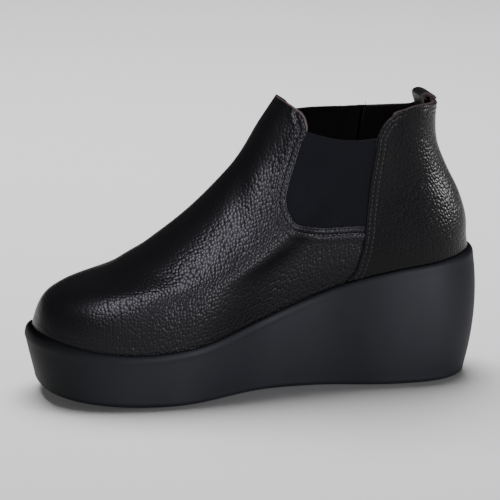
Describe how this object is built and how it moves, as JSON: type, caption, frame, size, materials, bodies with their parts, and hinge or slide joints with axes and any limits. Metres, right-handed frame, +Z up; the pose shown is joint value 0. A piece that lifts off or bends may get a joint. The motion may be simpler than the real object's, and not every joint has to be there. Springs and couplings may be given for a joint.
{
  "type": "platform wedge ankle boot",
  "caption": "Right ankle boot of grained black leather on a high one-piece platform wedge, with elastic side panels, a raised heel quarter and a pull tab at the back.",
  "frame": {"origin": "on the floor, under the middle of the boot's bounding box", "axes": "+X towards the toe, +Y towards the inner (big-toe) side, +Z up"},
  "size_m": [0.2562, 0.0968, 0.1615],
  "materials": {
    "leather": "black tumbled leather with a pebbled grain and a soft gloss",
    "elastic": "matte black ribbed elastic",
    "sole": "smooth matte black moulded foam rubber",
    "lining": "dark smooth lining leather"
  },
  "bodies": {
    "root": {"sole": "sole", "insole": "lining", "upper": "leather", "heel_quarter": "leather", "side_panel_inner": "elastic", "side_panel_outer": "elastic", "pull_tab": "leather"}
  },
  "joints": []
}
